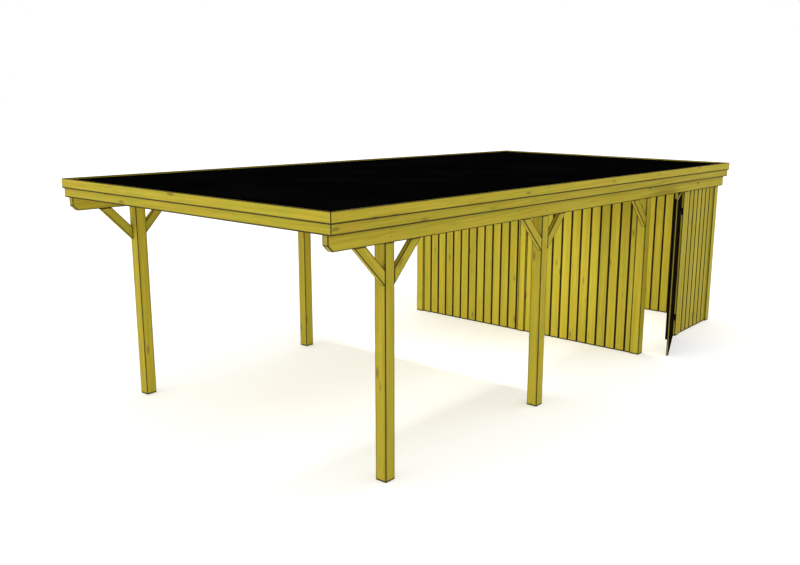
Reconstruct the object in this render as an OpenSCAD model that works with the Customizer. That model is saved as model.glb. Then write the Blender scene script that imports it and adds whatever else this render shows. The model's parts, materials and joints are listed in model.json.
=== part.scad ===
// Timber carport with a shed at the rear, under one flat roof that falls to the rear.
// X runs across, Y runs from the roof's front edge to the rear, Z is up from the ground.
// The origin is on the ground, at the middle of the foot of the stud in the shed's rear wall.

/* [Roof] */
// Width of the roof over its edge boards
roof_width = 3822; // [3000:10:6000]
// Length of the roof over its edge boards
roof_length = 8166; // [7800:10:10000]
// Fall of the roof to the rear, in percent
roof_fall = 2; // [0:0.5:4]
// Height under the side beams at the roof's front edge
clear_height = 2141; // [2000:10:2600]
// Height that the edge boards stand above the roofing
upstand = 20; // [5:1:60]
// Thickness of the roofing felt
membrane_thickness = 4; // [2:1:10]
// Thickness of the roof boarding
deck_thickness = 24; // [15:1:40]

/* [Edge boards] */
// Thickness of each edge board
fascia_thickness = 16; // [12:1:40]
// Height of the upper edge board
upper_fascia_height = 100; // [60:5:200]
// Height of the lower edge board that shows below the upper one
lower_fascia_drop = 91; // [20:1:150]

/* [Rafters] */
// Width of a rafter
rafter_width = 45; // [35:1:80]
// Height of a rafter
rafter_height = 120; // [95:5:220]
// Widest spacing of the rafters, centre to centre
rafter_spacing = 600; // [400:50:900]
// Overhang of the rafters beyond the outer face of a side beam
rafter_overhang = 33; // [10:1:300]

/* [Beams] */
// Thickness of a side beam
beam_thickness = 63; // [45:1:90]
// Height of a side beam
beam_height = 160; // [140:5:260]
// Length and height of the cut corner below a beam's front end
beam_front_chamfer = 53; // [10:1:100]
// Length and height of the cut corner below a beam's rear end
beam_rear_chamfer = 15; // [5:1:100]

/* [Posts] */
// Width and depth of a post
post_size = 120; // [95:1:160]
// Step from a beam's outer face in to a post's outer face
post_inset = 15; // [5:1:50]
// Distance from the roof's front edge to the front posts
front_overhang = 712; // [450:1:1200]
// Distance from the rear posts to the roof's rear edge
rear_overhang = 160; // [60:1:600]
// Clear depth of the shed between its posts
shed_depth = 2104; // [1500:1:2400]

/* [Knee braces] */
// Thickness of a brace across the carport
brace_thickness = 45; // [35:1:60]
// Depth of a brace across its slope
brace_depth = 95; // [60:1:120]
// Height from a brace's foot up to the beam
brace_leg = 365; // [300:5:500]

/* [Shed walls] */
// Thickness of the wall boards
board_thickness = 22; // [16:1:30]
// Step from the outer face of the posts in to the wall boards
board_recess = 20; // [5:1:40]
// Width of the stud near the middle of a long wall
stud_width = 100; // [70:1:120]
// Depth of that stud
stud_depth = 100; // [70:1:120]
// Thickness of the plate that carries the tops of the boards
plate_thickness = 45; // [35:1:60]

/* [Door] */
// Clear width of the doorway
doorway_width = 1030; // [700:10:1100]
// Thickness of the door's boards
leaf_thickness = 28; // [20:1:35]
// Gap beside the leaf
leaf_side_gap = 10; // [8:1:20]
// Gap between the leaf and the beam
leaf_top_gap = 10; // [8:1:20]
// Gap between the leaf and the ground
leaf_floor_gap = 10; // [6:1:60]
// Width of the frame boards on the back of the leaf
frame_width = 95; // [70:5:120]
// Thickness of the frame boards
frame_thickness = 25; // [16:1:30]
// Distance from the ends of the leaf to the ledges of that frame
ledge_distance = 210; // [120:10:300]
// Angle that the leaf stands open
door_angle = 20; // [0:1:90]

/* [Hinges] */
// Radius of a hinge pin
pin_radius = 5; // [4:0.5:6]
// Outer radius of a hinge knuckle
knuckle_radius = 8; // [7.5:0.5:10]
// Height of one knuckle
knuckle_height = 30; // [20:1:40]
// Length of the strap on the leaf
strap_length = 450; // [250:10:600]
// Thickness of the strap
strap_thickness = 4; // [3:0.5:6]
// Thickness of the plate on the post
hinge_plate_thickness = 3; // [2:0.5:5]
// Width of that plate behind the boards' outer face
hinge_plate_width = 45; // [30:1:60]

/* [Hidden] */
$fn = 48;

wood = [0.72, 0.65, 0.22];
felt = [0.03, 0.03, 0.03];
steel = [0.03, 0.03, 0.03];

slope = roof_fall / 100;
far = 2 * roof_length;             // longer than anything that it cuts
pin_clearance = 0.3;
knuckle_gap = 1;                   // between one knuckle and the next
post_knuckle_clearance = 6;        // between the leaf and the knuckles on the post

half_width = roof_width / 2;
rafter_end = half_width - 2 * fascia_thickness;
beam_outer = rafter_end - rafter_overhang;
beam_inner = beam_outer - beam_thickness;
post_outer = beam_outer - post_inset;
post_inner = post_outer - post_size;
board_outer = post_outer - board_recess;
board_inner = board_outer - board_thickness;

rim = 2 * fascia_thickness;        // both edge boards together
rear_rim = roof_length - rim;

// Every y below is a distance behind the roof's front edge; in_frame() moves it to the origin.
// Front faces of the posts. The middle post stands halfway from front to shed.
front_post_y = front_overhang;
rear_post_y = roof_length - rear_overhang - post_size;
shed_post_y = rear_post_y - shed_depth - post_size;
middle_post_y = (front_post_y + shed_post_y) / 2;
doorway_start = shed_post_y + post_size;
door_post_y = doorway_start + doorway_width;

// Heights at a distance y behind the roof's front edge
function beam_bottom(y) = clear_height - slope * y;
function beam_top(y) = beam_bottom(y) + beam_height;
function deck_bottom(y) = beam_top(y) + rafter_height;
function deck_top(y) = deck_bottom(y) + deck_thickness;
function roofing_top(y) = deck_top(y) + membrane_thickness;
function fascia_top(y) = roofing_top(y) + upstand;
function upper_fascia_bottom(y) = fascia_top(y) - upper_fascia_height;
function lower_fascia_bottom(y) = upper_fascia_bottom(y) - lower_fascia_drop;

// Front faces of the boards in the long walls, behind the posts' outer faces
front_wall_y = shed_post_y + board_recess;
rear_wall_y = rear_post_y + post_size - board_recess - board_thickness;

// Left and right faces of the studs: the front one stands beside the centreline, the rear one astride it
front_stud = [0, stud_width];
rear_stud = [-stud_width / 2, stud_width / 2];
rear_stud_y = rear_post_y + post_size - stud_depth;

rafter_gaps = ceil((rear_rim - rim - rafter_width) / rafter_spacing);
rafter_pitch = (rear_rim - rim - rafter_width) / rafter_gaps;

// Hinge axis, and the leaf in its closed place
hinge_x = board_outer + knuckle_radius + post_knuckle_clearance;
hinge_y = door_post_y - hinge_plate_thickness - knuckle_gap - knuckle_radius;
leaf_near = doorway_start + leaf_side_gap;
leaf_far = door_post_y - leaf_side_gap;
leaf_inner = board_outer - leaf_thickness;
ledge_low = leaf_floor_gap + ledge_distance;
ledge_high = beam_bottom(leaf_far) - leaf_top_gap - ledge_distance - frame_width;
hinge_heights = [ledge_low + frame_width / 2, ledge_high + frame_width / 2];
strap_pin_height = 3 * knuckle_height + 2 * knuckle_gap;

// Moves a piece from the roof's front edge to the part's origin
module in_frame() {
    translate([0, -rear_stud_y - stud_depth / 2, 0])
        children();
}

// A piece with a given outline in the YZ plane, from x0 across to x1
module across(x0, x1, outline) {
    translate([x0, 0, 0])
        rotate([90, 0, 90])
            linear_extrude(x1 - x0)
                polygon(outline);
}

// A piece from y0 to y1 with heights that follow the roof's fall
module sloping(x0, x1, y0, y1, low0, low1, high0, high1) {
    across(x0, x1, [[y0, low0], [y1, low1], [y1, high1], [y0, high0]]);
}

// The left side is the mirror image of the right side
module left_side() {
    mirror([1, 0, 0])
        children();
}

// A post on the right, notched on its outer side for the beam
module side_post(y) {
    back = y + post_size;
    color(wood)
        difference() {
            sloping(post_inner, post_outer, y, back, 0, 0, beam_top(y), beam_top(back));
            sloping(beam_inner, beam_inner + far, y - 1, back + 1,
                beam_bottom(y - 1), beam_bottom(back + 1), far, far);
        }
}

module side_beam() {
    front = rim;
    rear = rear_rim;
    front_cut = beam_front_chamfer;
    rear_cut = beam_rear_chamfer;
    color(wood)
        across(beam_inner, beam_outer, [
            [front, beam_top(front)],
            [front, beam_bottom(front) + front_cut],
            [front + front_cut, beam_bottom(front + front_cut)],
            [rear - rear_cut, beam_bottom(rear - rear_cut)],
            [rear, beam_bottom(rear) + rear_cut],
            [rear, beam_top(rear)]
        ]);
}

// A brace at 45 degrees from a post's face up to the beam.
// side is -1 for the brace in front of the post and 1 for the one behind it.
module knee_brace(y, side) {
    face = side < 0 ? y : y + post_size;
    foot = beam_bottom(y + post_size / 2) - brace_leg;
    head = foot + brace_depth * sqrt(2);
    // Distance from the post's face at which a 45 degree line from z meets the beam
    function reach(z) = (beam_bottom(face) - z) / (1 + side * slope);
    color(wood)
        across(post_outer - brace_thickness, post_outer, [
            [face, foot],
            [face, head],
            [face + side * reach(head), beam_bottom(face + side * reach(head))],
            [face + side * reach(foot), beam_bottom(face + side * reach(foot))]
        ]);
}

module rafters() {
    color(wood)
        for (i = [0 : rafter_gaps]) {
            y = rim + i * rafter_pitch;
            back = y + rafter_width;
            sloping(-rafter_end, rafter_end, y, back,
                beam_top(y), beam_top(back), deck_bottom(y), deck_bottom(back));
        }
}

module roof_deck() {
    color(wood)
        sloping(-rafter_end, rafter_end, rim, rear_rim,
            deck_bottom(rim), deck_bottom(rear_rim), deck_top(rim), deck_top(rear_rim));
}

// The roofing covers the boarding and the tops of the lower edge boards
module roof_membrane() {
    edge = fascia_thickness;
    side = half_width - edge;
    rear = roof_length - edge;
    color(felt)
        sloping(-side, side, edge, rear,
            deck_top(edge), deck_top(rear), roofing_top(edge), roofing_top(rear));
}

// Plan of an edge board along the front: its ends are mitred
module front_mitre(outer, thickness) {
    x = half_width - outer;
    linear_extrude(far)
        polygon([
            [-x, outer], [x, outer],
            [x - thickness, outer + thickness], [-x + thickness, outer + thickness]
        ]);
}

// Plan of an edge board along the right side: its ends are mitred
module side_mitre(outer, thickness) {
    x = half_width - outer;
    linear_extrude(far)
        polygon([
            [x, outer], [x, roof_length - outer],
            [x - thickness, roof_length - outer - thickness], [x - thickness, outer + thickness]
        ]);
}

// The solid between the lower and upper edge of the upper boards, over the whole roof
module upper_band() {
    sloping(-half_width, half_width, 0, roof_length,
        upper_fascia_bottom(0), upper_fascia_bottom(roof_length),
        fascia_top(0), fascia_top(roof_length));
}

module lower_band() {
    sloping(-half_width, half_width, 0, roof_length,
        lower_fascia_bottom(0), lower_fascia_bottom(roof_length),
        deck_top(0), deck_top(roof_length));
}

module at_rear() {
    translate([0, roof_length, 0])
        mirror([0, 1, 0])
            children();
}

module upper_fascia_front() {
    color(wood)
        intersection() {
            upper_band();
            front_mitre(0, fascia_thickness);
        }
}

module upper_fascia_rear() {
    color(wood)
        intersection() {
            upper_band();
            at_rear() front_mitre(0, fascia_thickness);
        }
}

module upper_fascia_right() {
    color(wood)
        intersection() {
            upper_band();
            side_mitre(0, fascia_thickness);
        }
}

module lower_fascia_front() {
    color(wood)
        intersection() {
            lower_band();
            front_mitre(fascia_thickness, fascia_thickness);
        }
}

module lower_fascia_rear() {
    color(wood)
        intersection() {
            lower_band();
            at_rear() front_mitre(fascia_thickness, fascia_thickness);
        }
}

module lower_fascia_right() {
    color(wood)
        intersection() {
            lower_band();
            side_mitre(fascia_thickness, fascia_thickness);
        }
}

// The boards of a long wall on the right, from a stud's face at x to the corner post. y is their front.
module half_wall(x, y) {
    back = y + board_thickness;
    color(wood)
        sloping(x, post_inner, y, back, 0, 0, beam_top(y), beam_top(back));
}

module wall_stud(stud, y) {
    back = y + stud_depth;
    color(wood)
        sloping(stud[0], stud[1], y, back, 0, 0, beam_top(y), beam_top(back));
}

// The plate lies behind the boards, in two lengths between the stud and the posts
module wall_plate(stud, y) {
    back = y + plate_thickness;
    color(wood)
        for (ends = [[-post_inner, stud[0]], [stud[1], post_inner]])
            sloping(ends[0], ends[1], y, back,
                beam_top(y) - rafter_height, beam_top(back) - rafter_height,
                beam_top(y), beam_top(back));
}

// A board wall below the right beam, from y0 to y1
module side_wall(y0, y1) {
    color(wood)
        sloping(board_inner, board_outer, y0, y1, 0, 0, beam_bottom(y0), beam_bottom(y1));
}

// Everything on the door turns about the hinge pins
module opened() {
    translate([hinge_x, hinge_y, 0])
        rotate([0, 0, door_angle])
            translate([-hinge_x, -hinge_y, 0])
                children();
}

function leaf_top(y) = beam_bottom(y) - leaf_top_gap;

module door_leaf() {
    color(wood)
        opened()
            sloping(leaf_inner, board_outer, leaf_near, leaf_far,
                leaf_floor_gap, leaf_floor_gap, leaf_top(leaf_near), leaf_top(leaf_far));
}

// The stiles stand along both edges of the leaf, from the lower ledge to its top
module door_stiles() {
    color(wood)
        opened()
            for (y = [leaf_near, leaf_far - frame_width])
                sloping(leaf_inner - frame_thickness, leaf_inner, y, y + frame_width,
                    ledge_low, ledge_low, leaf_top(y), leaf_top(y + frame_width));
}

module door_ledges() {
    length = leaf_far - leaf_near - 2 * frame_width;
    color(wood)
        opened()
            for (z = [ledge_low, ledge_high])
                translate([leaf_inner - frame_thickness, leaf_near + frame_width, z])
                    cube([frame_thickness, length, frame_width]);
}

// The brace rises from the hinge side to the free side, inside the stiles and ledges
module door_brace() {
    low = ledge_low + frame_width;
    foot = leaf_far - frame_width;
    tip = leaf_near + frame_width;
    width = frame_width / cos(atan((foot - tip) / (ledge_high - low)));
    color(wood)
        opened()
            across(leaf_inner - frame_thickness, leaf_inner, [
                [foot, low], [foot - width, low], [tip, ledge_high], [tip + width, ledge_high]
            ]);
}

// Straps on the outer face of the leaf, each with the middle knuckle of its hinge
module door_hinge_straps() {
    bore = pin_radius + pin_clearance;
    color(steel)
        opened()
            for (z = hinge_heights) {
                low = z - knuckle_height / 2;
                difference() {
                    union() {
                        translate([board_outer, hinge_y - strap_length, low])
                            cube([strap_thickness, strap_length, knuckle_height]);
                        translate([board_outer, hinge_y - knuckle_radius, low])
                            cube([hinge_x - board_outer, knuckle_radius, knuckle_height]);
                        translate([hinge_x, hinge_y, low])
                            cylinder(h = knuckle_height, r = knuckle_radius);
                    }
                    translate([hinge_x, hinge_y, low - 1])
                        cylinder(h = knuckle_height + 2, r = bore);
                }
            }
}

// Plates on the door post, each with two knuckles and the pin through all three
module door_post_hinges() {
    step = knuckle_height + knuckle_gap;
    width = post_outer - board_outer + hinge_plate_width;
    color(steel)
        for (z = hinge_heights)
            translate([0, 0, z - strap_pin_height / 2]) {
                translate([board_outer - hinge_plate_width, door_post_y - hinge_plate_thickness, 0])
                    cube([width, hinge_plate_thickness, strap_pin_height]);
                translate([hinge_x, hinge_y, 0])
                    cylinder(h = strap_pin_height, r = pin_radius);
                for (low = [0, 2 * step]) {
                    translate([hinge_x, hinge_y, low])
                        cylinder(h = knuckle_height, r = knuckle_radius);
                    translate([hinge_x - strap_thickness, hinge_y, low])
                        cube([2 * strap_thickness, door_post_y - hinge_y, knuckle_height]);
                }
            }
}

in_frame() left_side() side_post(front_post_y);  // post_front_left
in_frame() side_post(front_post_y);  // post_front_right
in_frame() left_side() side_post(middle_post_y);  // post_middle_left
in_frame() side_post(middle_post_y);  // post_middle_right
in_frame() left_side() side_post(shed_post_y);  // post_shed_left
in_frame() side_post(shed_post_y);  // post_shed_right
in_frame() left_side() side_post(rear_post_y);  // post_rear_left
in_frame() side_post(rear_post_y);  // post_rear_right
in_frame() side_post(door_post_y);  // door_post
in_frame() wall_stud(front_stud, shed_post_y);  // front_wall_stud
in_frame() wall_stud(rear_stud, rear_stud_y);  // rear_wall_stud
in_frame() left_side() side_beam();  // beam_left
in_frame() side_beam();  // beam_right
in_frame() left_side() knee_brace(front_post_y, -1);  // brace_front_left_fore
in_frame() left_side() knee_brace(front_post_y, 1);  // brace_front_left_aft
in_frame() knee_brace(front_post_y, -1);  // brace_front_right_fore
in_frame() knee_brace(front_post_y, 1);  // brace_front_right_aft
in_frame() left_side() knee_brace(middle_post_y, -1);  // brace_middle_left_fore
in_frame() left_side() knee_brace(middle_post_y, 1);  // brace_middle_left_aft
in_frame() knee_brace(middle_post_y, -1);  // brace_middle_right_fore
in_frame() knee_brace(middle_post_y, 1);  // brace_middle_right_aft
in_frame() left_side() knee_brace(shed_post_y, -1);  // brace_shed_left_fore
in_frame() knee_brace(shed_post_y, -1);  // brace_shed_right_fore
in_frame() rafters();
in_frame() roof_deck();
in_frame() roof_membrane();
in_frame() upper_fascia_front();
in_frame() upper_fascia_rear();
in_frame() left_side() upper_fascia_right();  // upper_fascia_left
in_frame() upper_fascia_right();
in_frame() lower_fascia_front();
in_frame() lower_fascia_rear();
in_frame() left_side() lower_fascia_right();  // lower_fascia_left
in_frame() lower_fascia_right();
in_frame() left_side() half_wall(-front_stud[0], front_wall_y);  // front_wall_left
in_frame() half_wall(front_stud[1], front_wall_y);  // front_wall_right
in_frame() left_side() half_wall(-rear_stud[0], rear_wall_y);  // rear_wall_left
in_frame() half_wall(rear_stud[1], rear_wall_y);  // rear_wall_right
in_frame() left_side() side_wall(doorway_start, rear_post_y);  // left_wall
in_frame() side_wall(door_post_y + post_size, rear_post_y);  // right_wall
in_frame() wall_plate(front_stud, front_wall_y + board_thickness);  // front_wall_plate
in_frame() wall_plate(rear_stud, rear_wall_y - plate_thickness);  // rear_wall_plate
in_frame() door_leaf();
in_frame() door_stiles();
in_frame() door_ledges();
in_frame() door_brace();
in_frame() door_hinge_straps();
in_frame() door_post_hinges();
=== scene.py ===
"""Looks of the timber carport and its shed: boards, felt, screws and materials on the CAD frame.

Everything is in metres in the CAD frame: X runs across, Y to the rear and Z up from the ground.
"""

import json
import math
import random

import bmesh
import bpy
from mathutils import Matrix, Vector


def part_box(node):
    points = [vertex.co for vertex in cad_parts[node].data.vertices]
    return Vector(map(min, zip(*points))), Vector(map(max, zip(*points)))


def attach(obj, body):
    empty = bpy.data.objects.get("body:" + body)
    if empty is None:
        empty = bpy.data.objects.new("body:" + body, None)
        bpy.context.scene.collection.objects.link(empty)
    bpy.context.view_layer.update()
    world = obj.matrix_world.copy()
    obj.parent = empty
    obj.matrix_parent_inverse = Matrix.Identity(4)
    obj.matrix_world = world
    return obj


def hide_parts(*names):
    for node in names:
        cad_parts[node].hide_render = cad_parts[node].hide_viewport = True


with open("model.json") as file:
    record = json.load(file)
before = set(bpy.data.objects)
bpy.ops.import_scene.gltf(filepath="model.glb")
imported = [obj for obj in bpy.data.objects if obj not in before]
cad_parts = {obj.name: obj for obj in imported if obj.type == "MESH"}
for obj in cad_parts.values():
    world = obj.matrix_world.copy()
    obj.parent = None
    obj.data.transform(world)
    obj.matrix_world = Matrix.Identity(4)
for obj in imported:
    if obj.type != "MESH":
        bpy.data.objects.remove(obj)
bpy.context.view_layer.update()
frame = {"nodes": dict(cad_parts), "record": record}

# The tones of the boards, which are the same each time
draw = random.Random(7)

X, Y, Z = Vector((1, 0, 0)), Vector((0, 1, 0)), Vector((0, 0, 1))

# The roof and the tops of all walls and posts fall to the rear, by this much for each metre
FALL = 0.02

# Boards
WALL_PITCH = 0.139
ROOF_PITCH = 0.121
DOOR_BOARDS = 7
JOINT = 0.006            # open joint between two boards
CHAMFER = 0.010          # on the long edges of a board
TONGUE = 0.006           # thickness of the tongue that shows in a joint
TONGUE_HOLD = 0.001      # how far the tongue goes into a board's groove
NARROWEST = 0.012        # no narrower strip is cut from a board

# Door
DOOR_GAP = 0.010         # round the closed leaf
LEAF_THICKNESS = 0.028
FRAME_WIDTH = 0.095      # width of the stiles and ledges on the leaf's inner face
STRAP_THICKNESS = 0.004

# Larger timbers
RAFTERS = 15
RAFTER_WIDTH = 0.045
ARRIS = 0.004            # width of the timbers' eased edges

# Painted shade along the edges, the joints and the lower edges of edge boards, and a darker band at the
# foot
EDGE_SHADE_REACH = 0.022        # how far the painted shade reaches from the edge of a timber
EDGE_SHADE_REACH_BOARD = 0.010  # how far it reaches from the edge of a board
UNDER_EDGE_SHADE = 0.017        # height of the painted shade band along the lower edge of an edge board
DARK_FOOT = 0.022        # height of the dark band where a timber stands on the ground

# Roofing felt
FELT_STRIP = 0.92        # from one lap to the next
FELT_LAP = 0.08
FELT_LIFT = 0.003        # a strip's lower edge above the strip it covers
FELT_BEAD = 0.004        # width and height of the bead between the felt and the edge boards

# Screws: radius and height of the head
SMALL_SCREW = (0.0040, 0.0012)
LARGE_SCREW = (0.0075, 0.0035)

# Heights of screws below the top of an edge board, a wall and a beam
EDGE_BOARD_LEVELS = (0.030, 0.075)
WALL_LEVELS = (0.035, 0.085)
BEAM_LEVELS = (0.050, 0.110)

# Pairs of screws along the front and rear edge boards, and how far the outer pairs are from the corners
END_PAIRS = 7
END_MARGIN = 0.10

# Screws of a knee brace: distance from the post, and height above the brace's foot
BRACE_SCREWS = ((0.050, 0.120), (0.080, 0.090), (0.255, 0.325), (0.290, 0.290))

# Screws of the door: height above and below the middle of a ledge, and distance along a strap
# from the hinge pin
LEDGE_SCREW = 0.030
STRAP_SCREWS = (0.06, 0.20, 0.34, 0.43)

# How fast the patterns of the wood change across and along its grain, for each metre
STREAKS = (46.0, 46.0, 1.1)
RINGS = (17.0, 17.0, 0.5)
FIBRES = (420.0, 420.0, 9.0)
KNOTS = (7.0, 7.0, 2.2)
STAIN_STREAKS = (60.0, 60.0, 1.5)

# How far apart two boards with the lightest and the darkest tone lie in the log, across and along
LOG_ACROSS = 7.3
LOG_ALONG = 31.7

# Colours, linear
PINE_LIGHT = (0.410, 0.334, 0.022)
PINE_DARK = (0.284, 0.224, 0.013)
PINE_GREEN = (0.278, 0.298, 0.018)
PINE_ORANGE = (0.440, 0.275, 0.018)
PINE_END = (0.250, 0.180, 0.030)
KNOT = (0.130, 0.075, 0.014)
EDGE_SHADE = (0.020, 0.015, 0.004)
JOINT_SHADE = (0.010, 0.008, 0.003)
BLACK_STAIN = (0.0012, 0.0012, 0.0012)
BLACK_STAIN_WORN = (0.0060, 0.0055, 0.0040)
FELT_DARK = (0.0004, 0.0004, 0.0004)
FELT_GRIT = (0.0040, 0.0040, 0.0042)
ZINC_DARK = (0.220, 0.175, 0.020)
ZINC_LIGHT = (0.330, 0.270, 0.030)
PAINT = (0.0040, 0.0040, 0.0042)
PAINT_WORN = (0.0100, 0.0095, 0.0090)
FLOOR_DARK = (0.88, 0.88, 0.88)
FLOOR_LIGHT = (0.92, 0.92, 0.92)
WHITE = (1.0, 1.0, 1.0, 1.0)

# Nodes of the frame. The long walls are the shed's front and rear walls, in two halves each.
POSTS = [
    f"post_{place}_{side}"
    for place in ("front", "middle", "shed", "rear")
    for side in ("left", "right")
]
LONG_WALLS = ("front_wall_left", "front_wall_right", "rear_wall_left", "rear_wall_right")


# ---------------------------------------------------------------- places taken from the frame

def top_of(node):
    """A function that gives the height of a node's top at any y. The top falls with the roof."""
    low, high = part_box(node)

    def height(y):
        return high.z - FALL * (y - low.y)

    return height


beam_top = top_of("beam_right")
beam_bottom = top_of("right_wall")
deck_top = top_of("roof_deck")
felt_top = top_of("roof_membrane")
fascia_top = top_of("upper_fascia_right")

# Turns the closed door about its hinge to where it rests
door_joint = frame["record"]["behaviour"]["joints"][0]
hinge = Vector(door_joint["pos_m"])
door_angle = math.radians(-door_joint["range_deg"][0])
door_turn = Matrix.Translation(hinge) @ Matrix.Rotation(door_angle, 4, "Z") @ Matrix.Translation(-hinge)


# ---------------------------------------------------------------- nodes of a material

def add_node(tree, kind, **settings):
    node = tree.nodes.new("ShaderNode" + kind)
    for name, value in settings.items():
        setattr(node, name, value)
    return node


def feed(tree, socket, value):
    """Links a socket to another, or sets it to a constant."""
    if isinstance(value, bpy.types.NodeSocket):
        tree.links.new(value, socket)
    elif hasattr(socket.default_value, "__len__") and len(socket.default_value) == 4:
        socket.default_value = (*value, 1.0)
    else:
        socket.default_value = value


def noise(tree, vector, scale=1.0, detail=2.0, distortion=0.0):
    node = add_node(tree, "TexNoise")
    feed(tree, node.inputs["Vector"], vector)
    node.inputs["Scale"].default_value = scale
    node.inputs["Detail"].default_value = detail
    node.inputs["Distortion"].default_value = distortion
    return node.outputs["Fac"]


def remap(tree, value, start, end, low=0.0, high=1.0):
    """Moves a value from the range start..end to the range low..high."""
    node = add_node(tree, "MapRange")
    feed(tree, node.inputs["Value"], value)
    node.inputs["From Min"].default_value = start
    node.inputs["From Max"].default_value = end
    node.inputs["To Min"].default_value = low
    node.inputs["To Max"].default_value = high
    return node.outputs["Result"]


def calculate(tree, operation, a, b=0.0):
    node = add_node(tree, "Math", operation=operation)
    feed(tree, node.inputs[0], a)
    feed(tree, node.inputs[1], b)
    return node.outputs[0]


def scaled(tree, vector, factors):
    node = add_node(tree, "VectorMath", operation="MULTIPLY")
    feed(tree, node.inputs[0], vector)
    node.inputs[1].default_value = factors
    return node.outputs[0]


def blend(tree, factor, first, second):
    node = add_node(tree, "Mix", data_type="RGBA")
    feed(tree, node.inputs[0], factor)
    feed(tree, node.inputs[6], first)
    feed(tree, node.inputs[7], second)
    return node.outputs[2]


def times(colour, factor):
    return tuple(factor * part for part in colour)


def bumped(tree, shader, height, distance, strength):
    node = add_node(tree, "Bump")
    feed(tree, node.inputs["Height"], height)
    node.inputs["Distance"].default_value = distance
    node.inputs["Strength"].default_value = strength
    feed(tree, shader.inputs["Normal"], node.outputs["Normal"])


def new_material(name):
    material = bpy.data.materials.new(name)
    material.use_nodes = True
    tree = material.node_tree
    return material, tree, tree.nodes["Principled BSDF"]


def object_place(tree):
    """Object coordinates, which are those of the CAD frame."""
    return add_node(tree, "TexCoord").outputs["Object"]


def grain_coordinates(tree, grain, per_board):
    """Object coordinates turned so that the grain runs along Z, and a number for the tone of the wood.

    With per_board, each board gets its own place in the log and its own tone.
    """
    place = object_place(tree)
    if per_board:
        tone = add_node(tree, "Attribute", attribute_name="tone").outputs["Fac"]
        shift = add_node(tree, "CombineXYZ")
        feed(tree, shift.inputs["X"], calculate(tree, "MULTIPLY", tone, LOG_ACROSS))
        feed(tree, shift.inputs["Z"], calculate(tree, "MULTIPLY", tone, LOG_ALONG))
        moved = add_node(tree, "VectorMath", operation="ADD")
        feed(tree, moved.inputs[0], place)
        feed(tree, moved.inputs[1], shift.outputs[0])
        place = moved.outputs[0]
    else:
        tone = add_node(tree, "ObjectInfo").outputs["Random"]
    turn = add_node(tree, "Mapping")
    feed(tree, turn.inputs["Vector"], place)
    turn.inputs["Rotation"].default_value = grain.rotation_difference(Z).to_euler()
    return turn.outputs[0], tone


def end_grain(tree, grain):
    """1 on the faces that cut across the grain."""
    node = add_node(tree, "VectorMath", operation="DOT_PRODUCT")
    feed(tree, node.inputs[0], add_node(tree, "TexCoord").outputs["Normal"])
    node.inputs[1].default_value = grain
    return calculate(tree, "GREATER_THAN", calculate(tree, "ABSOLUTE", node.outputs["Value"]), 0.6)


def near_edge(tree, reach):
    """1 at a timber's edges, falling to 0 at about the given distance from them.

    It compares the true normal with one that is rounded near the edges. The ends of the range are
    cosines of the angle between them.
    """
    rounded = add_node(tree, "Bevel", samples=8)
    rounded.inputs["Radius"].default_value = reach
    alike = add_node(tree, "VectorMath", operation="DOT_PRODUCT")
    feed(tree, alike.inputs[0], rounded.outputs["Normal"])
    feed(tree, alike.inputs[1], add_node(tree, "NewGeometry").outputs["Normal"])
    return remap(tree, alike.outputs["Value"], 0.998, 0.955)


def dark_band(tree, level, bottom, height):
    """1 in a band of a given height above its bottom, falling to 0 over the last two fifths of it."""
    return remap(tree, level, bottom + 0.6 * height, bottom + height, 1.0, 0.0)


def under_edge_shade(tree, lower_edge):
    """Painted shade: 1 along the lower edge of an edge board, which falls with the roof from its height
    where y is 0.
    """
    place = add_node(tree, "SeparateXYZ")
    feed(tree, place.inputs[0], object_place(tree))
    fall = calculate(tree, "MULTIPLY", place.outputs["Y"], FALL)
    level = calculate(tree, "ADD", place.outputs["Z"], fall)
    return dark_band(tree, level, lower_edge, UNDER_EDGE_SHADE)


def dark_foot(tree):
    """1 at the ground, falling to 0 a little above it."""
    place = add_node(tree, "SeparateXYZ")
    feed(tree, place.inputs[0], object_place(tree))
    return dark_band(tree, place.outputs["Z"], 0.0, DARK_FOOT)


def knots(tree, along):
    """1 in the heart of a knot, falling to 0 round it. Knots are rare and longer than they are wide."""
    node = add_node(tree, "TexVoronoi", feature="F1")
    feed(tree, node.inputs["Vector"], scaled(tree, along, KNOTS))
    node.inputs["Scale"].default_value = 1.0
    return remap(tree, node.outputs["Distance"], 0.05, 0.16, 1.0, 0.0)


# ---------------------------------------------------------------- materials

def clean_pine(tree, along, grain, streaks):
    """The colour of pine in streaks and rings, with green and orange patches, knots and end grain."""
    rings = noise(tree, scaled(tree, along, RINGS), detail=1.0, distortion=0.6)
    ring_lines = calculate(tree, "PINGPONG", calculate(tree, "MULTIPLY", rings, 9.0), 0.5)
    late_wood = remap(tree, ring_lines, 0.32, 0.5, 0.0, 0.42)
    shade = calculate(tree, "ADD", remap(tree, streaks, 0.35, 0.68, 0.0, 0.62), late_wood)
    colour = blend(tree, shade, PINE_LIGHT, PINE_DARK)
    mottling = noise(tree, along, scale=5.5, detail=3.0)
    colour = blend(tree, remap(tree, mottling, 0.52, 0.70, 0.0, 0.35), colour, PINE_GREEN)
    colour = blend(tree, remap(tree, mottling, 0.48, 0.30, 0.0, 0.30), colour, PINE_ORANGE)
    colour = blend(tree, calculate(tree, "MULTIPLY", knots(tree, along), 0.7), colour, KNOT)
    return blend(tree, calculate(tree, "MULTIPLY", end_grain(tree, grain), 0.6), colour, PINE_END)


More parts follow.
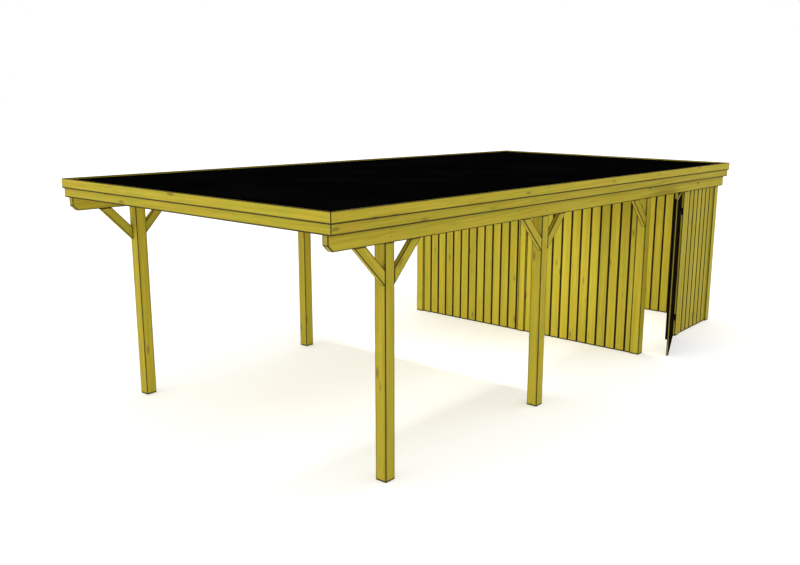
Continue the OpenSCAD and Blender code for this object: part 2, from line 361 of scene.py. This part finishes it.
def pine(name, grain, per_board=False, reach=EDGE_SHADE_REACH, lower_edge=None):
    """Pressure-treated pine with its grain along a direction, with painted shade near its edges, and
    darker at its foot.

    An edge board has no foot: lower_edge is the height of its lower edge where y is 0.
    """
    material, tree, shader = new_material(name)
    along, tone = grain_coordinates(tree, grain, per_board)
    streaks = noise(tree, scaled(tree, along, STREAKS), detail=4.0)
    fibres = noise(tree, scaled(tree, along, FIBRES))
    colour = clean_pine(tree, along, grain, streaks)
    low_band = dark_foot(tree) if lower_edge is None else under_edge_shade(tree, lower_edge)
    # Painted shade near the edges and along an edge board's lower edge, with the darker band at the foot
    painted_shade_and_foot_band = calculate(tree, "MAXIMUM", near_edge(tree, reach), low_band)
    colour = blend(tree, calculate(tree, "MULTIPLY", painted_shade_and_foot_band, 0.9), colour, EDGE_SHADE)
    brightness = add_node(tree, "HueSaturation")
    feed(tree, brightness.inputs["Color"], colour)
    feed(tree, brightness.inputs["Value"], remap(tree, tone, 0.0, 1.0, 0.92, 1.08))
    feed(tree, shader.inputs["Base Color"], brightness.outputs[0])

    feed(tree, shader.inputs["Roughness"], remap(tree, streaks, 0.3, 0.7, 0.62, 0.82))
    shader.inputs["Specular IOR Level"].default_value = 0.15
    relief = calculate(tree, "ADD", streaks, calculate(tree, "MULTIPLY", fibres, 0.5))
    bumped(tree, shader, relief, distance=0.0012, strength=0.35)
    return material


def painted_edge_shade():
    """Painted shade on the eased edges of the timbers and on the chamfers of the boards."""
    material, tree, shader = new_material("painted_edge_shade")
    patches = noise(tree, object_place(tree), scale=14.0, detail=3.0)
    colour = blend(tree, remap(tree, patches, 0.35, 0.7), EDGE_SHADE, times(EDGE_SHADE, 0.7))
    feed(tree, shader.inputs["Base Color"], colour)
    shader.inputs["Roughness"].default_value = 0.85
    shader.inputs["Specular IOR Level"].default_value = 0.1
    return material


def joint_shade():
    """The tongues deep in the joints between boards."""
    material, tree, shader = new_material("joint_shade")
    dust = noise(tree, object_place(tree), scale=30.0)
    colour = blend(tree, remap(tree, dust, 0.4, 0.7), JOINT_SHADE, times(JOINT_SHADE, 1.8))
    feed(tree, shader.inputs["Base Color"], colour)
    shader.inputs["Roughness"].default_value = 0.9
    shader.inputs["Specular IOR Level"].default_value = 0.05
    return material


def black_stain(name, grain, per_board=False):
    """Black stain on the outside of the door and on its frame, thinner where the grain stands up."""
    material, tree, shader = new_material(name)
    along = grain_coordinates(tree, grain, per_board)[0]
    streaks = noise(tree, scaled(tree, along, STAIN_STREAKS), detail=4.0)
    worn = remap(tree, streaks, 0.50, 0.75, 0.0, 0.8)
    feed(tree, shader.inputs["Base Color"], blend(tree, worn, BLACK_STAIN, BLACK_STAIN_WORN))
    feed(tree, shader.inputs["Roughness"], remap(tree, streaks, 0.3, 0.7, 0.75, 0.9))
    shader.inputs["Specular IOR Level"].default_value = 0.0
    bumped(tree, shader, streaks, distance=0.0010, strength=0.4)
    return material


def felt():
    """Mineral felt: black grit in bitumen."""
    material, tree, shader = new_material("felt")
    place = object_place(tree)
    grit = noise(tree, place, scale=420.0)
    patches = noise(tree, place, scale=1.3, detail=3.0)
    colour = blend(tree, remap(tree, grit, 0.50, 0.72), FELT_DARK, FELT_GRIT)
    colour = blend(tree, remap(tree, patches, 0.45, 0.75, 0.0, 0.4), colour, FELT_GRIT)
    feed(tree, shader.inputs["Base Color"], colour)
    feed(tree, shader.inputs["Roughness"], remap(tree, grit, 0.3, 0.7, 0.85, 1.0))
    shader.inputs["Specular IOR Level"].default_value = 0.0
    bumped(tree, shader, grit, distance=0.0015, strength=0.5)
    return material


def yellow_zinc():
    """Screws plated with yellow zinc, duller in places."""
    material, tree, shader = new_material("yellow_zinc")
    cloud = noise(tree, object_place(tree), scale=260.0, detail=3.0)
    shade = remap(tree, cloud, 0.3, 0.7)
    feed(tree, shader.inputs["Base Color"], blend(tree, shade, ZINC_DARK, ZINC_LIGHT))
    feed(tree, shader.inputs["Roughness"], remap(tree, shade, 0.0, 1.0, 0.60, 0.45))
    shader.inputs["Metallic"].default_value = 0.2
    bumped(tree, shader, cloud, distance=0.0002, strength=0.3)
    return material


def black_paint():
    """Matt black powder coat on the hinges, greyer where it is scuffed."""
    material, tree, shader = new_material("black_paint")
    place = object_place(tree)
    speckle = noise(tree, place, scale=700.0)
    scuffs = noise(tree, place, scale=35.0, detail=4.0)
    worn = remap(tree, scuffs, 0.56, 0.72)
    feed(tree, shader.inputs["Base Color"], blend(tree, worn, PAINT, PAINT_WORN))
    feed(tree, shader.inputs["Roughness"], remap(tree, scuffs, 0.3, 0.7, 0.70, 0.85))
    shader.inputs["Specular IOR Level"].default_value = 0.03
    bumped(tree, shader, speckle, distance=0.0003, strength=0.4)
    return material


def floor_white():
    """Matt white floor that glows a little, so that it meets the white surroundings without a line."""
    material, tree, shader = new_material("floor_white")
    cloud = noise(tree, object_place(tree), scale=0.2)
    feed(tree, shader.inputs["Base Color"], blend(tree, cloud, FLOOR_DARK, FLOOR_LIGHT))
    shader.inputs["Roughness"].default_value = 1.0
    shader.inputs["Specular IOR Level"].default_value = 0.0
    shader.inputs["Emission Color"].default_value = WHITE
    shader.inputs["Emission Strength"].default_value = 0.33
    return material


EDGE = painted_edge_shade()
DEEP_JOINT = joint_shade()
STAIN = black_stain("black_stain", Z, per_board=True)
FELT = felt()
ZINC = yellow_zinc()
HINGE_PAINT = black_paint()
PINE_UP = pine("pine_up", Z)
PINE_ALONG = pine("pine_along", Y)
PINE_ACROSS = pine("pine_across", X)
BOARDS_UP = pine("boards_up", Z, per_board=True, reach=EDGE_SHADE_REACH_BOARD)
BOARDS_ALONG = pine("boards_along", Y, per_board=True, reach=EDGE_SHADE_REACH_BOARD)

# Numbers of the materials of boards, and the numbers for a board's eight long faces in turn
FACE, DARK_EDGE, DEEP, STAINED = 0, 1, 2, 3
# A board's chamfers take the second material, which is painted shade
BOARD_SIDES = [FACE, DARK_EDGE] * 4


# ---------------------------------------------------------------- meshes

def start_mesh():
    """An empty mesh with a tone for each of its faces."""
    mesh = bmesh.new()
    mesh.faces.layers.float.new("tone")
    return mesh


def finish_piece(mesh, name, body, materials, nodes=()):
    """Makes a piece from a mesh, on a CAD body, in place of some CAD nodes."""
    bmesh.ops.recalc_face_normals(mesh, faces=mesh.faces)
    data = bpy.data.meshes.new(name)
    mesh.to_mesh(data)
    mesh.free()
    for material in materials:
        data.materials.append(material)
    piece = bpy.data.objects.new(name, data)
    bpy.context.scene.collection.objects.link(piece)
    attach(piece, body)
    if nodes:
        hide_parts(*nodes)


def add_prism(mesh, section, ends, place, tone=0.5, materials=None):
    """A straight piece with a section in (width, depth).

    ends(width, depth) gives where it starts and stops, and place turns (width, depth, length) into
    a point. materials holds one number for each side, or is None.
    """
    layer = mesh.faces.layers.float["tone"]
    rings = [[mesh.verts.new(place(w, d, ends(w, d)[k])) for w, d in section] for k in (0, 1)]
    caps = [mesh.faces.new(rings[0]), mesh.faces.new(rings[1])]
    sides = []
    for i in range(len(section)):
        j = (i + 1) % len(section)
        sides.append(mesh.faces.new((rings[0][i], rings[0][j], rings[1][j], rings[1][i])))
    for face in caps + sides:
        face[layer] = tone
    if materials:
        for face, index in zip(sides, materials):
            face.material_index = index


def board_section(left, right, d0, d1):
    """A board's section with its four long edges chamfered."""
    c = CHAMFER
    return [
        (left + c, d0), (right - c, d0), (right, d0 + c), (right, d1 - c),
        (right - c, d1), (left + c, d1), (left, d1 - c), (left, d0 + c),
    ]


def board_edges(start, end, grid, pitch):
    """Where boards meet from start to end. grid is the place of one joint, which may be outside them."""
    first = math.ceil((start + NARROWEST - grid) / pitch)
    last = math.floor((end - NARROWEST - grid) / pitch)
    return [start] + [grid + i * pitch for i in range(first, last + 1)] + [end]


def add_boarding(mesh, edges, depths, ends, place, between_posts=False):
    """Boards side by side with a tongue in each joint. Between posts there is a joint at each end too."""
    starts = [w + JOINT / 2 for w in edges[:-1]]
    stops = [w - JOINT / 2 for w in edges[1:]]
    joints = edges
    if not between_posts:
        starts[0] = edges[0]
        stops[-1] = edges[-1]
        joints = edges[1:-1]
    for left, right in zip(starts, stops):
        add_prism(mesh, board_section(left, right, *depths), ends, place, draw.random(), BOARD_SIDES)

    middle = sum(depths) / 2
    outer, inner = middle - TONGUE / 2, middle + TONGUE / 2
    for w in joints:
        left = max(w - JOINT / 2 - TONGUE_HOLD, edges[0])
        right = min(w + JOINT / 2 + TONGUE_HOLD, edges[-1])
        tongue = [(left, outer), (right, outer), (right, inner), (left, inner)]
        add_prism(mesh, tongue, ends, place, materials=[DEEP] * 4)


def add_screw(mesh, centre, outward, size, sides=8):
    """A domed screw head with a recess, standing on a face. Its profile is in shares of its size."""
    radius, height = size
    profile = [(1.0, 0.0), (0.82, 0.8), (0.45, 1.0), (0.32, 0.4)]
    across = outward.orthogonal().normalized()
    up = outward.cross(across)
    rings = []
    for r, h in profile:
        ring = []
        for i in range(sides):
            a = 2 * math.pi * i / sides
            offset = (across * math.cos(a) + up * math.sin(a)) * radius * r
            ring.append(mesh.verts.new(centre + offset + outward * height * h))
        rings.append(ring)
    for lower, upper in zip(rings, rings[1:]):
        for i in range(sides):
            j = (i + 1) % sides
            mesh.faces.new((lower[i], lower[j], upper[j], upper[i]))
    mesh.faces.new(rings[0][::-1])
    mesh.faces.new(rings[-1])


# ---------------------------------------------------------------- walls

def facing_wall(w, d, height):
    """A wall across the carport: its boards stand side by side along X."""
    return Vector((w, d, height))


def side_wall(w, d, height):
    """A wall along a side: its boards stand side by side along Y."""
    return Vector((d, w, height))


def long_wall_edges(node):
    """Where boards meet in one half of a long wall. They are set out from the left-hand corner post."""
    low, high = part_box(node)
    return board_edges(low.x, high.x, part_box("post_rear_left")[1].x, WALL_PITCH)


def long_wall(node):
    """One half of the shed's front or rear wall."""
    low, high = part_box(node)
    mesh = start_mesh()
    add_boarding(
        mesh, long_wall_edges(node), (low.y, high.y),
        lambda w, d: (low.z, beam_top(d)), facing_wall, between_posts=True,
    )
    finish_piece(mesh, "boards_" + node, "carport", [BOARDS_UP, EDGE, DEEP_JOINT], [node])


def short_wall(node, grid):
    """The shed's wall below a side beam. grid is the place of one joint between its boards."""
    low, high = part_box(node)
    mesh = start_mesh()
    add_boarding(
        mesh, board_edges(low.y, high.y, grid, WALL_PITCH), (low.x, high.x),
        lambda w, d: (low.z, beam_bottom(w)), side_wall, between_posts=True,
    )
    finish_piece(mesh, "boards_" + node, "carport", [BOARDS_UP, EDGE, DEEP_JOINT], [node])


def walls():
    """The right wall is set out from its rear end. The left wall has two equal cut boards at its ends."""
    for node in LONG_WALLS:
        long_wall(node)
    short_wall("right_wall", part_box("right_wall")[1].y)
    low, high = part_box("left_wall")
    whole_boards = math.floor((high.y - low.y) / WALL_PITCH) - 1
    short_wall("left_wall", (low.y + high.y - whole_boards * WALL_PITCH) / 2)


# ---------------------------------------------------------------- door

def closed_door():
    """The closed leaf's inner near corner at its foot, and its outer far corner on the ground."""
    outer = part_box("right_wall")[1].x
    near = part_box("post_shed_right")[1].y + DOOR_GAP
    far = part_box("door_post")[0].y - DOOR_GAP
    return Vector((outer - LEAF_THICKNESS, near, DOOR_GAP)), Vector((outer, far, 0.0))


def door_board_edges():
    low, high = closed_door()
    pitch = (high.y - low.y) / DOOR_BOARDS
    return [low.y + i * pitch for i in range(DOOR_BOARDS + 1)]


def door_leaf():
    """Boards stained black on the outer face."""
    low, high = closed_door()
    mesh = start_mesh()
    add_boarding(
        mesh, door_board_edges(), (low.x, high.x),
        lambda w, d: (low.z, beam_bottom(w) - DOOR_GAP),
        lambda w, d, height: door_turn @ side_wall(w, d, height),
    )
    outward = door_turn.to_3x3() @ X
    outer_face = (door_turn @ high).dot(outward)
    rounding = 0.001
    for face in mesh.faces:
        is_outer = abs(face.calc_center_median().dot(outward) - outer_face) < rounding
        if face.material_index == FACE and is_outer:
            face.material_index = STAINED
    finish_piece(
        mesh, "boards_door", "door", [BOARDS_UP, EDGE, DEEP_JOINT, STAIN], ["door_leaf"]
    )


# ---------------------------------------------------------------- roof

def roof_boards():
    """Boards along the roof, seen from below between the rafters. A joint is on the centreline."""
    low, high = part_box("roof_deck")
    thickness = deck_top(low.y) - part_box("rafters")[1].z
    mesh = start_mesh()
    add_boarding(
        mesh, board_edges(low.x, high.x, 0.0, ROOF_PITCH), (-thickness, 0.0),
        lambda w, d: (low.y, high.y),
        lambda w, d, y: Vector((w, y, deck_top(y) + d)),
    )
    finish_piece(
        mesh, "boards_roof", "carport", [BOARDS_ALONG, EDGE, DEEP_JOINT], ["roof_deck"]
    )


def across_felt(y, height, x):
    """A point of a piece that runs across the roof, at a height above the CAD felt."""
    return Vector((x, y, felt_top(y) + height))


def along_felt(x, height, y):
    """A point of a piece that runs along the roof, at a height above the CAD felt."""
    return Vector((x, y, felt_top(y) + height))


def bead_section(edge, inward, toe):
    """A bead's triangle against an edge board. Its toe is a little above the CAD felt."""
    return [(edge, 0.0), (edge + inward * FELT_BEAD, toe), (edge, FELT_BEAD)]


def roof_felt():
    """Strips of felt across the roof, each lapped over the one below it, and beads at the edge boards."""
    low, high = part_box("roof_membrane")
    thickness = felt_top(low.y) - deck_top(low.y)
    mesh = start_mesh()
    lower_edge = high.y
    while lower_edge > low.y + FELT_LAP:
        upper_edge = max(low.y, lower_edge - FELT_STRIP - FELT_LAP)
        strip = [
            (lower_edge, -thickness), (lower_edge, FELT_LIFT),
            (upper_edge, 0.0), (upper_edge, -thickness),
        ]
        add_prism(mesh, strip, lambda w, height: (low.x, high.x), across_felt)
        lower_edge -= FELT_STRIP
    for y, inward in ((low.y, 1), (high.y, -1)):
        bead = bead_section(y, inward, FELT_LIFT / 2)
        add_prism(mesh, bead, lambda w, height: (low.x, high.x), across_felt)
    for x, inward in ((low.x, 1), (high.x, -1)):
        bead = bead_section(x, inward, FELT_LIFT)
        add_prism(mesh, bead, lambda w, height: (low.y, high.y), along_felt)
    finish_piece(mesh, "felt_roof", "carport", [FELT], ["roof_membrane"])


# ---------------------------------------------------------------- screws

def rafter_middles():
    low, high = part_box("rafters")
    pitch = (high.y - low.y - RAFTER_WIDTH) / (RAFTERS - 1)
    return [low.y + RAFTER_WIDTH / 2 + i * pitch for i in range(RAFTERS)]


def edge_board_screws():
    """Two screws at every rafter through the side boards, and pairs along the front and rear boards."""
    mesh = start_mesh()
    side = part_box("upper_fascia_right")[1].x
    for y in rafter_middles():
        for x, outward in ((side, X), (-side, -X)):
            for level in EDGE_BOARD_LEVELS:
                add_screw(mesh, Vector((x, y, fascia_top(y) - level)), outward, SMALL_SCREW)
    front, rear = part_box("upper_fascia_front")[0].y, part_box("upper_fascia_rear")[1].y
    for y, outward in ((front, -Y), (rear, Y)):
        for i in range(END_PAIRS):
            x = (2 * i / (END_PAIRS - 1) - 1) * (side - END_MARGIN)
            for level in EDGE_BOARD_LEVELS:
                add_screw(mesh, Vector((x, y, fascia_top(y) - level)), outward, SMALL_SCREW)
    finish_piece(mesh, "screws_edge_boards", "carport", [ZINC])


def wall_screws():
    """Two screws at the top of each board of the long walls, into the wall plate."""
    mesh = start_mesh()
    for node in LONG_WALLS:
        low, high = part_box(node)
        y, outward = (low.y, -Y) if node.startswith("front") else (high.y, Y)
        edges = long_wall_edges(node)
        for x0, x1 in zip(edges, edges[1:]):
            for level in WALL_LEVELS:
                add_screw(mesh, Vector(((x0 + x1) / 2, y, beam_top(y) - level)), outward, SMALL_SCREW)
    finish_piece(mesh, "screws_walls", "carport", [ZINC])


def beam_screws():
    """Two large screws through the beam into each post's notch."""
    mesh = start_mesh()
    beam_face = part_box("beam_right")[1].x
    for post in POSTS + ["door_post"]:
        low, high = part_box(post)
        y = (low.y + high.y) / 2
        side = math.copysign(1.0, low.x)
        for level in BEAM_LEVELS:
            add_screw(mesh, Vector((side * beam_face, y, beam_top(y) - level)), X * side, LARGE_SCREW)
    finish_piece(mesh, "screws_beams", "carport", [ZINC])


def brace_names():
    return [name for name in frame["nodes"] if name.startswith("brace_")]


def brace_screws():
    """Two screws near each end of a knee brace, on its outer face."""
    mesh = start_mesh()
    for node in brace_names():
        low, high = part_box(node)
        side = math.copysign(1.0, low.x)
        face = high.x if side > 0 else low.x
        post_face, leaning = (high.y, -1.0) if node.endswith("fore") else (low.y, 1.0)
        for distance, height in BRACE_SCREWS:
            centre = Vector((face, post_face + leaning * distance, low.z + height))
            add_screw(mesh, centre, X * side, SMALL_SCREW)
    finish_piece(mesh, "screws_braces", "carport", [ZINC])


def door_screws():
    """Screws through the door's boards into its ledges, and in its strap hinges."""
    outer = closed_door()[1].x
    edges = door_board_edges()
    ledges_low, ledges_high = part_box("door_ledges")
    outward = door_turn.to_3x3() @ X
    mesh = start_mesh()
    for z in (ledges_low.z + FRAME_WIDTH / 2, ledges_high.z - FRAME_WIDTH / 2):
        for y0, y1 in zip(edges, edges[1:]):
            for step in (-LEDGE_SCREW, LEDGE_SCREW):
                centre = Vector((outer, (y0 + y1) / 2, z + step))
                add_screw(mesh, door_turn @ centre, outward, SMALL_SCREW)
        for distance in STRAP_SCREWS:
            centre = Vector((outer + STRAP_THICKNESS, hinge.y - distance, z))
            add_screw(mesh, door_turn @ centre, outward, SMALL_SCREW)
    finish_piece(mesh, "screws_door", "door", [HINGE_PAINT])


# ---------------------------------------------------------------- finish of the CAD nodes

def clothe(node, materials):
    """Gives a node its materials, and all its faces the first of them."""
    data = node.data
    data.materials.clear()
    for material in materials:
        data.materials.append(material)
    for polygon in data.polygons:
        polygon.material_index = 0


def ease_edges(node):
    """Joins the mesh along its edges, then bevels them. The bevels take the node's second material, which
    is painted shade.
    """
    weld = node.modifiers.new("weld", "WELD")
    weld.merge_threshold = 0.00001
    bevel = node.modifiers.new("bevel", "BEVEL")
    bevel.width = ARRIS
    bevel.segments = 1
    bevel.limit_method = "ANGLE"
    bevel.angle_limit = math.radians(30)
    bevel.material = 1


def dress(node, material):
    """Gives a timber of the frame its material, flat faces and eased edges."""
    clothe(node, [material, EDGE])
    for polygon in node.data.polygons:
        polygon.use_smooth = False
    ease_edges(node)


def edge_board_looks():
    """Two materials for each row of edge boards, one along the sides and one across the ends."""
    looks = {}
    for row in ("upper", "lower"):
        low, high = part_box(f"{row}_fascia_front")
        lower_edge = low.z + FALL * high.y
        for grain, sides in ((Y, ("left", "right")), (X, ("front", "rear"))):
            name = f"pine_{row}_{sides[0]}"
            material = pine(name, grain, reach=EDGE_SHADE_REACH_BOARD, lower_edge=lower_edge)
            for side in sides:
                looks[f"{row}_fascia_{side}"] = material
    return looks


def brace_looks():
    """A fore brace leans forward from its post, and an aft brace leans to the rear."""
    fore = pine("pine_brace_fore", Vector((0, -1, 1)).normalized())
    aft = pine("pine_brace_aft", Vector((0, 1, 1)).normalized())
    return {name: fore if name.endswith("fore") else aft for name in brace_names()}


def door_frame_looks():
    """Black stain on the frame of the door, with the grain along each of its pieces."""
    low, high = closed_door()
    ledges_low, ledges_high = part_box("door_ledges")
    run = high.y - low.y - 2 * FRAME_WIDTH
    rise = ledges_high.z - ledges_low.z - 2 * FRAME_WIDTH
    turned = door_turn.to_3x3()
    return {
        "door_stiles": black_stain("black_stiles", Z),
        "door_ledges": black_stain("black_ledges", turned @ Y),
        "door_brace": black_stain("black_brace", (turned @ Vector((0, -run, rise))).normalized()),
    }


def frame_timbers():
    """Dresses the CAD nodes of wood that no piece replaces."""
    upright = POSTS + ["door_post", "front_wall_stud", "rear_wall_stud"]
    looks = dict.fromkeys(upright, PINE_UP)
    looks.update(dict.fromkeys(("beam_left", "beam_right"), PINE_ALONG))
    looks.update(dict.fromkeys(("rafters", "front_wall_plate", "rear_wall_plate"), PINE_ACROSS))
    looks.update(edge_board_looks())
    looks.update(brace_looks())
    looks.update(door_frame_looks())
    for name, material in looks.items():
        dress(frame["nodes"][name], material)


def hinges():
    """Black paint on the hinges, which are too thin for eased edges."""
    for name in ("door_hinge_straps", "door_post_hinges"):
        clothe(frame["nodes"][name], [HINGE_PAINT])


# ---------------------------------------------------------------- studio

def studio_floor():
    """A wide floor, just below the ground so that no foot of a post lies in the same plane."""
    size = 150.0
    drop = 0.0005
    mesh = bmesh.new()
    bmesh.ops.create_grid(mesh, x_segments=1, y_segments=1, size=size)
    data = bpy.data.meshes.new("floor")
    mesh.to_mesh(data)
    mesh.free()
    data.materials.append(floor_white())
    floor = bpy.data.objects.new("floor", data)
    floor.location.z = -drop
    bpy.context.scene.collection.objects.link(floor)


def surroundings():
    """Even white light from all round."""
    world = bpy.data.worlds.new("studio")
    world.use_nodes = True
    background = world.node_tree.nodes["Background"]
    background.inputs["Color"].default_value = WHITE
    background.inputs["Strength"].default_value = 1.0
    bpy.context.scene.world = world


def key_light():
    """A wide soft light from the front left, low enough to reach under the roof."""
    towards_light = Vector((-0.30, -0.95, 0.05))
    data = bpy.data.lights.new("key", "SUN")
    data.energy = 1.05
    data.angle = math.radians(24)
    lamp = bpy.data.objects.new("key", data)
    lamp.rotation_euler = towards_light.to_track_quat("Z", "Y").to_euler()
    bpy.context.scene.collection.objects.link(lamp)


def panel_light(name, size, place, tilt, turn, power):
    """A soft rectangular light that shines along -Z before it is tilted about X and turned about Z."""
    data = bpy.data.lights.new(name, "AREA")
    data.shape = "RECTANGLE"
    data.size, data.size_y = size
    data.energy = power
    lamp = bpy.data.objects.new(name, data)
    lamp.location = place
    lamp.rotation_euler = (math.radians(tilt), 0.0, math.radians(turn))
    lamp.visible_camera = False
    bpy.context.scene.collection.objects.link(lamp)


def fill_lights():
    """Soft light inside the shed, and under the roof on the shed's front wall and on the left side."""
    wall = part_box("front_wall_right")[0].y
    panel_light("shed_light", (3.0, 1.0), (0.0, wall + 0.45, 1.65), tilt=50.0, turn=0.0, power=56.0)
    panel_light("wall_light", (3.3, 1.8), (0.0, wall - 2.15, 1.05), tilt=90.0, turn=0.0, power=21.0)
    panel_light("side_light", (5.5, 1.4), (1.2, wall - 2.9, 1.10), tilt=90.0, turn=90.0, power=22.0)


def camera():
    """The photograph's view, from the front right and above the roof, as its straight edges give it."""
    data = bpy.data.cameras.new("camera")
    data.lens = 40.09
    data.sensor_width = 36.0
    data.clip_end = 500.0
    seen = bpy.data.objects.new("camera", data)
    seen.location = (6.5642, -12.6856, 3.3949)
    seen.rotation_euler = (math.radians(77.4980), 0.0, math.radians(40.0503))
    bpy.context.scene.collection.objects.link(seen)
    bpy.context.scene.camera = seen


walls()
door_leaf()
roof_boards()
roof_felt()
edge_board_screws()
wall_screws()
beam_screws()
brace_screws()
door_screws()
frame_timbers()
hinges()
studio_floor()
surroundings()
key_light()
fill_lights()
camera()
bpy.context.scene.view_settings.view_transform = "Standard"

bpy.context.view_layer.update()
